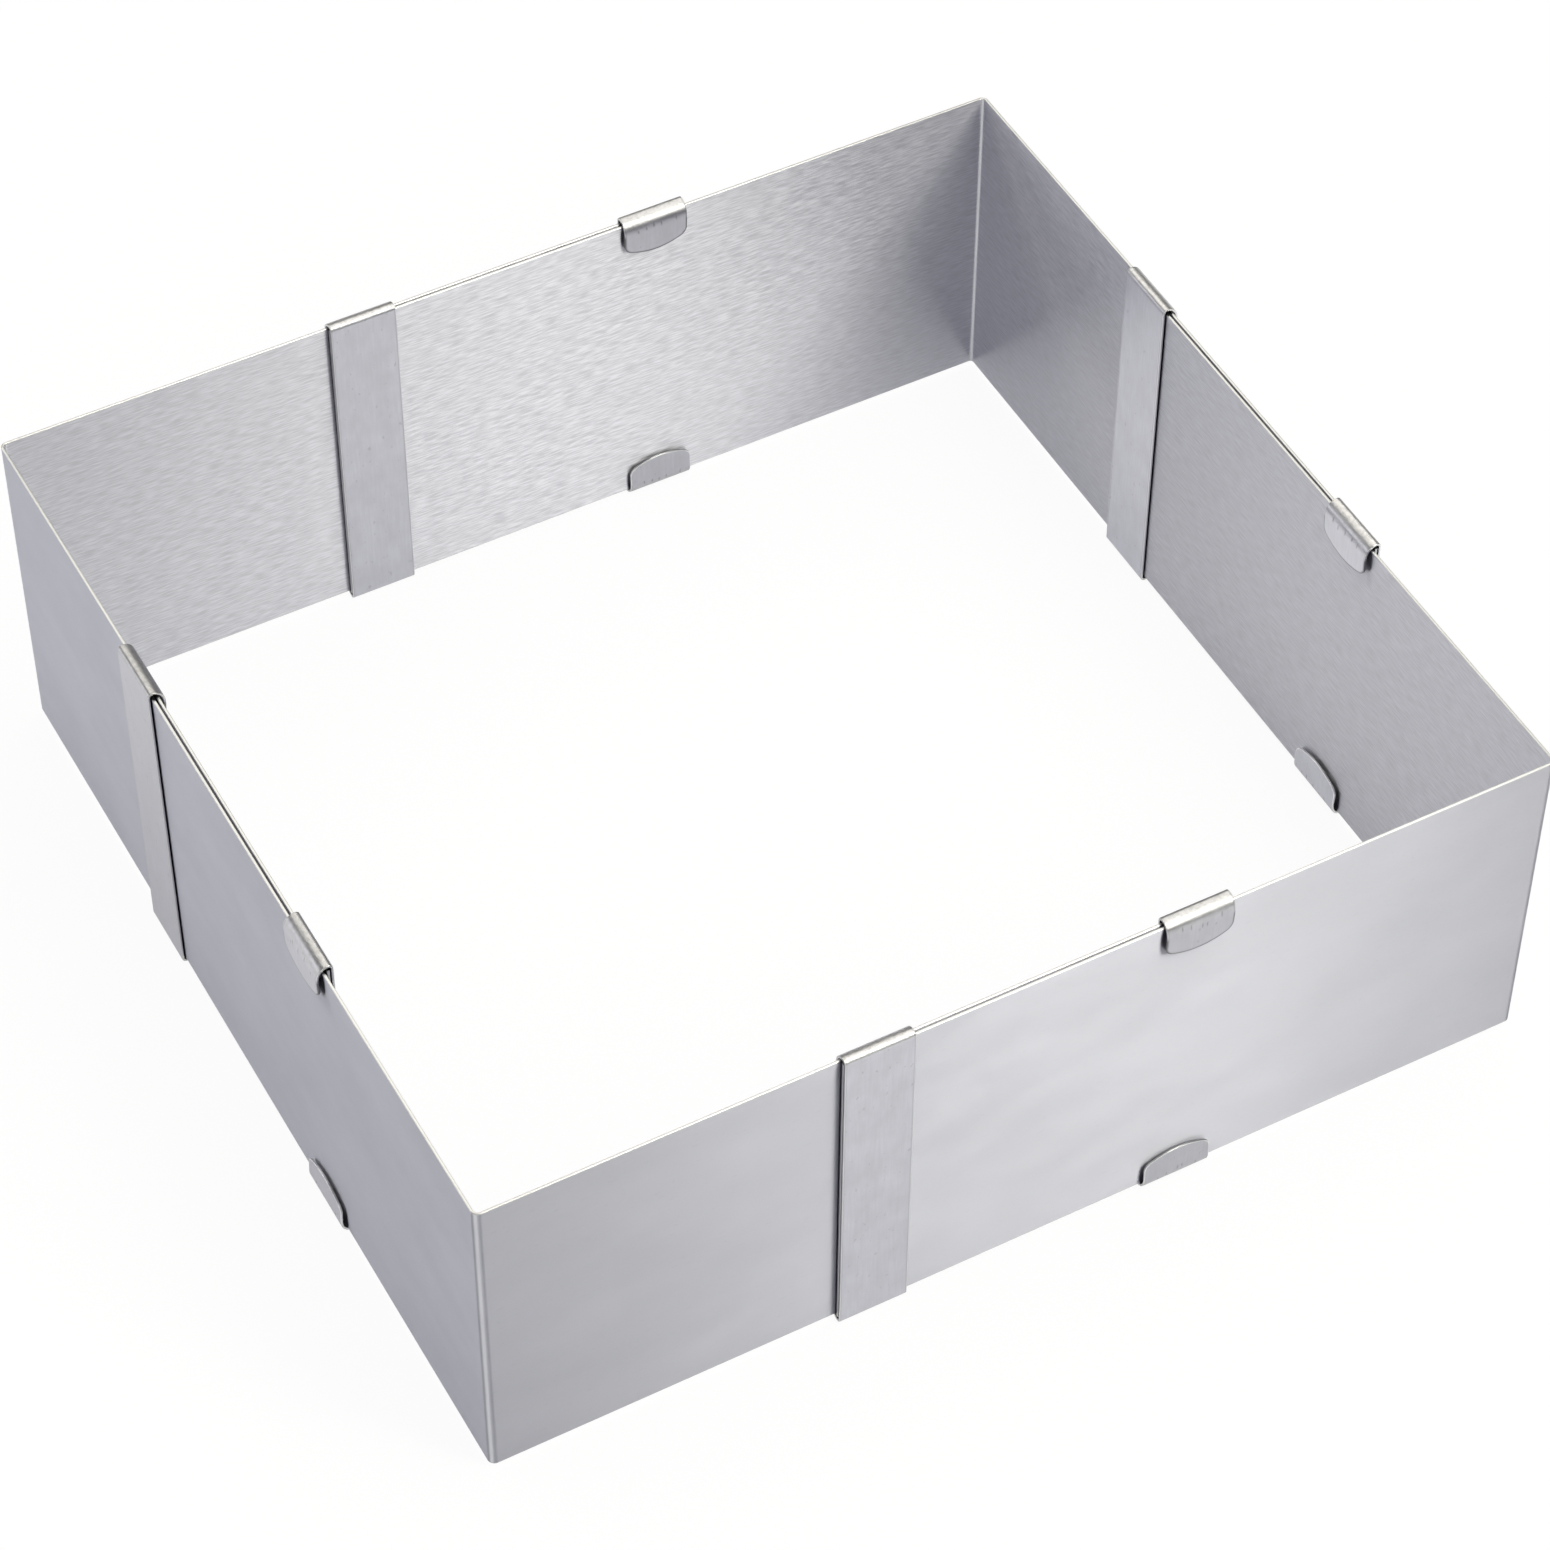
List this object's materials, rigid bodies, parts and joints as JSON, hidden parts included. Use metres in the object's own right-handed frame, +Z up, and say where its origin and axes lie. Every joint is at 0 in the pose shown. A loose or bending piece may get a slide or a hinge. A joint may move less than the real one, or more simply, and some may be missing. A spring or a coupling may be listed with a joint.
{
  "type": "adjustable cake frame",
  "caption": "Bottomless square baking frame of L-shaped steel sheets that slide in folded guide clips, so its width and depth can be set.",
  "frame": {"origin": "middle of the frame's outline, on the surface that the clips' lower folds stand on", "axes": "+Z up along the walls' height, +X along the frame's width, +Y along its depth, away from the front corner"},
  "size_m": [0.2408, 0.2308, 0.0826],
  "materials": {
    "sheet_steel": "stainless sheet with a fine grain brushed along its length",
    "clip_steel": "satin pressed stainless strip, bright at its folds"
  },
  "bodies": {
    "front_corner": {"front_corner_sheet": "sheet_steel", "front_inner_clip": "clip_steel", "front_outer_clip": "clip_steel"},
    "right_corner": {"right_corner_sheet": "sheet_steel", "right_inner_clip": "clip_steel", "right_outer_clip": "clip_steel"},
    "back_corner": {"back_corner_sheet": "sheet_steel", "back_inner_clip": "clip_steel", "back_outer_clip": "clip_steel"},
    "left_corner": {"left_corner_sheet": "sheet_steel", "left_inner_clip": "clip_steel", "left_outer_clip": "clip_steel"}
  },
  "joints": [
    {"name": "width_slide", "type": "slide", "parent": "front_corner", "child": "right_corner", "axis": [1, 0, 0], "range_m": [-0.07, 0.0545]},
    {"name": "depth_slide", "type": "slide", "parent": "front_corner", "child": "left_corner", "axis": [0, 1, 0], "range_m": [-0.06, 0.0645]},
    {"name": "back_depth_slide", "type": "slide", "parent": "right_corner", "child": "back_corner", "axis": [0, 1, 0], "range_m": [-0.06, 0.0645]}
  ],
  "couplings": [
    {"joint": "back_depth_slide", "follows": "depth_slide", "ratio": 1}
  ]
}
